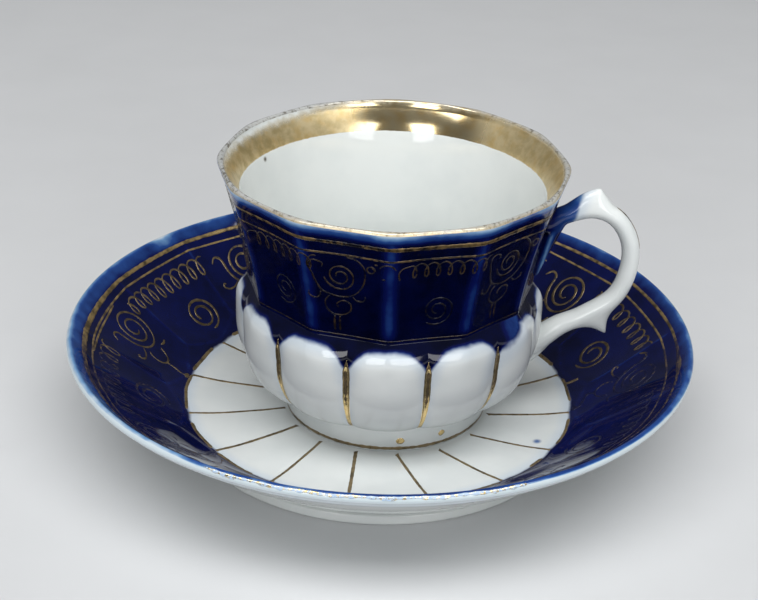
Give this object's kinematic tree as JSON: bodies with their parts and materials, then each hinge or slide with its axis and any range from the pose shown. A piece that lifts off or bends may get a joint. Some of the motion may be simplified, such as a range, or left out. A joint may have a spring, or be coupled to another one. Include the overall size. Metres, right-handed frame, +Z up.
{
  "type": "cup with saucer",
  "caption": "Footed tea cup with a faceted flaring top, a lobed belly and a looped handle, standing on a fluted saucer that it lifts off.",
  "frame": {"origin": "on the table under the middle of the saucer", "axes": "+Z up, +X from the saucer's middle towards the handle, -Y is the front"},
  "size_m": [0.1496, 0.1496, 0.069],
  "materials": {
    "saucer_glaze": "glossy cobalt blue glaze over white porcelain, with a white well and worn gilding",
    "cup_glaze": "glossy cobalt blue glaze over white porcelain, with white lobes, a white inside and worn gilding",
    "white_glaze": "glossy clear glaze over white porcelain",
    "gilding": "thin burnished gold, worn"
  },
  "bodies": {
    "saucer": {"saucer_dish": "saucer_glaze", "saucer_foot_ring": "white_glaze"},
    "cup": {"cup_bowl": "cup_glaze", "cup_foot_ring": "white_glaze", "cup_handle": "white_glaze"}
  },
  "joints": [
    {"name": "cup_lift", "type": "slide", "parent": "saucer", "child": "cup", "axis": [0, 0, 1], "range_m": [0, 0.08]}
  ]
}
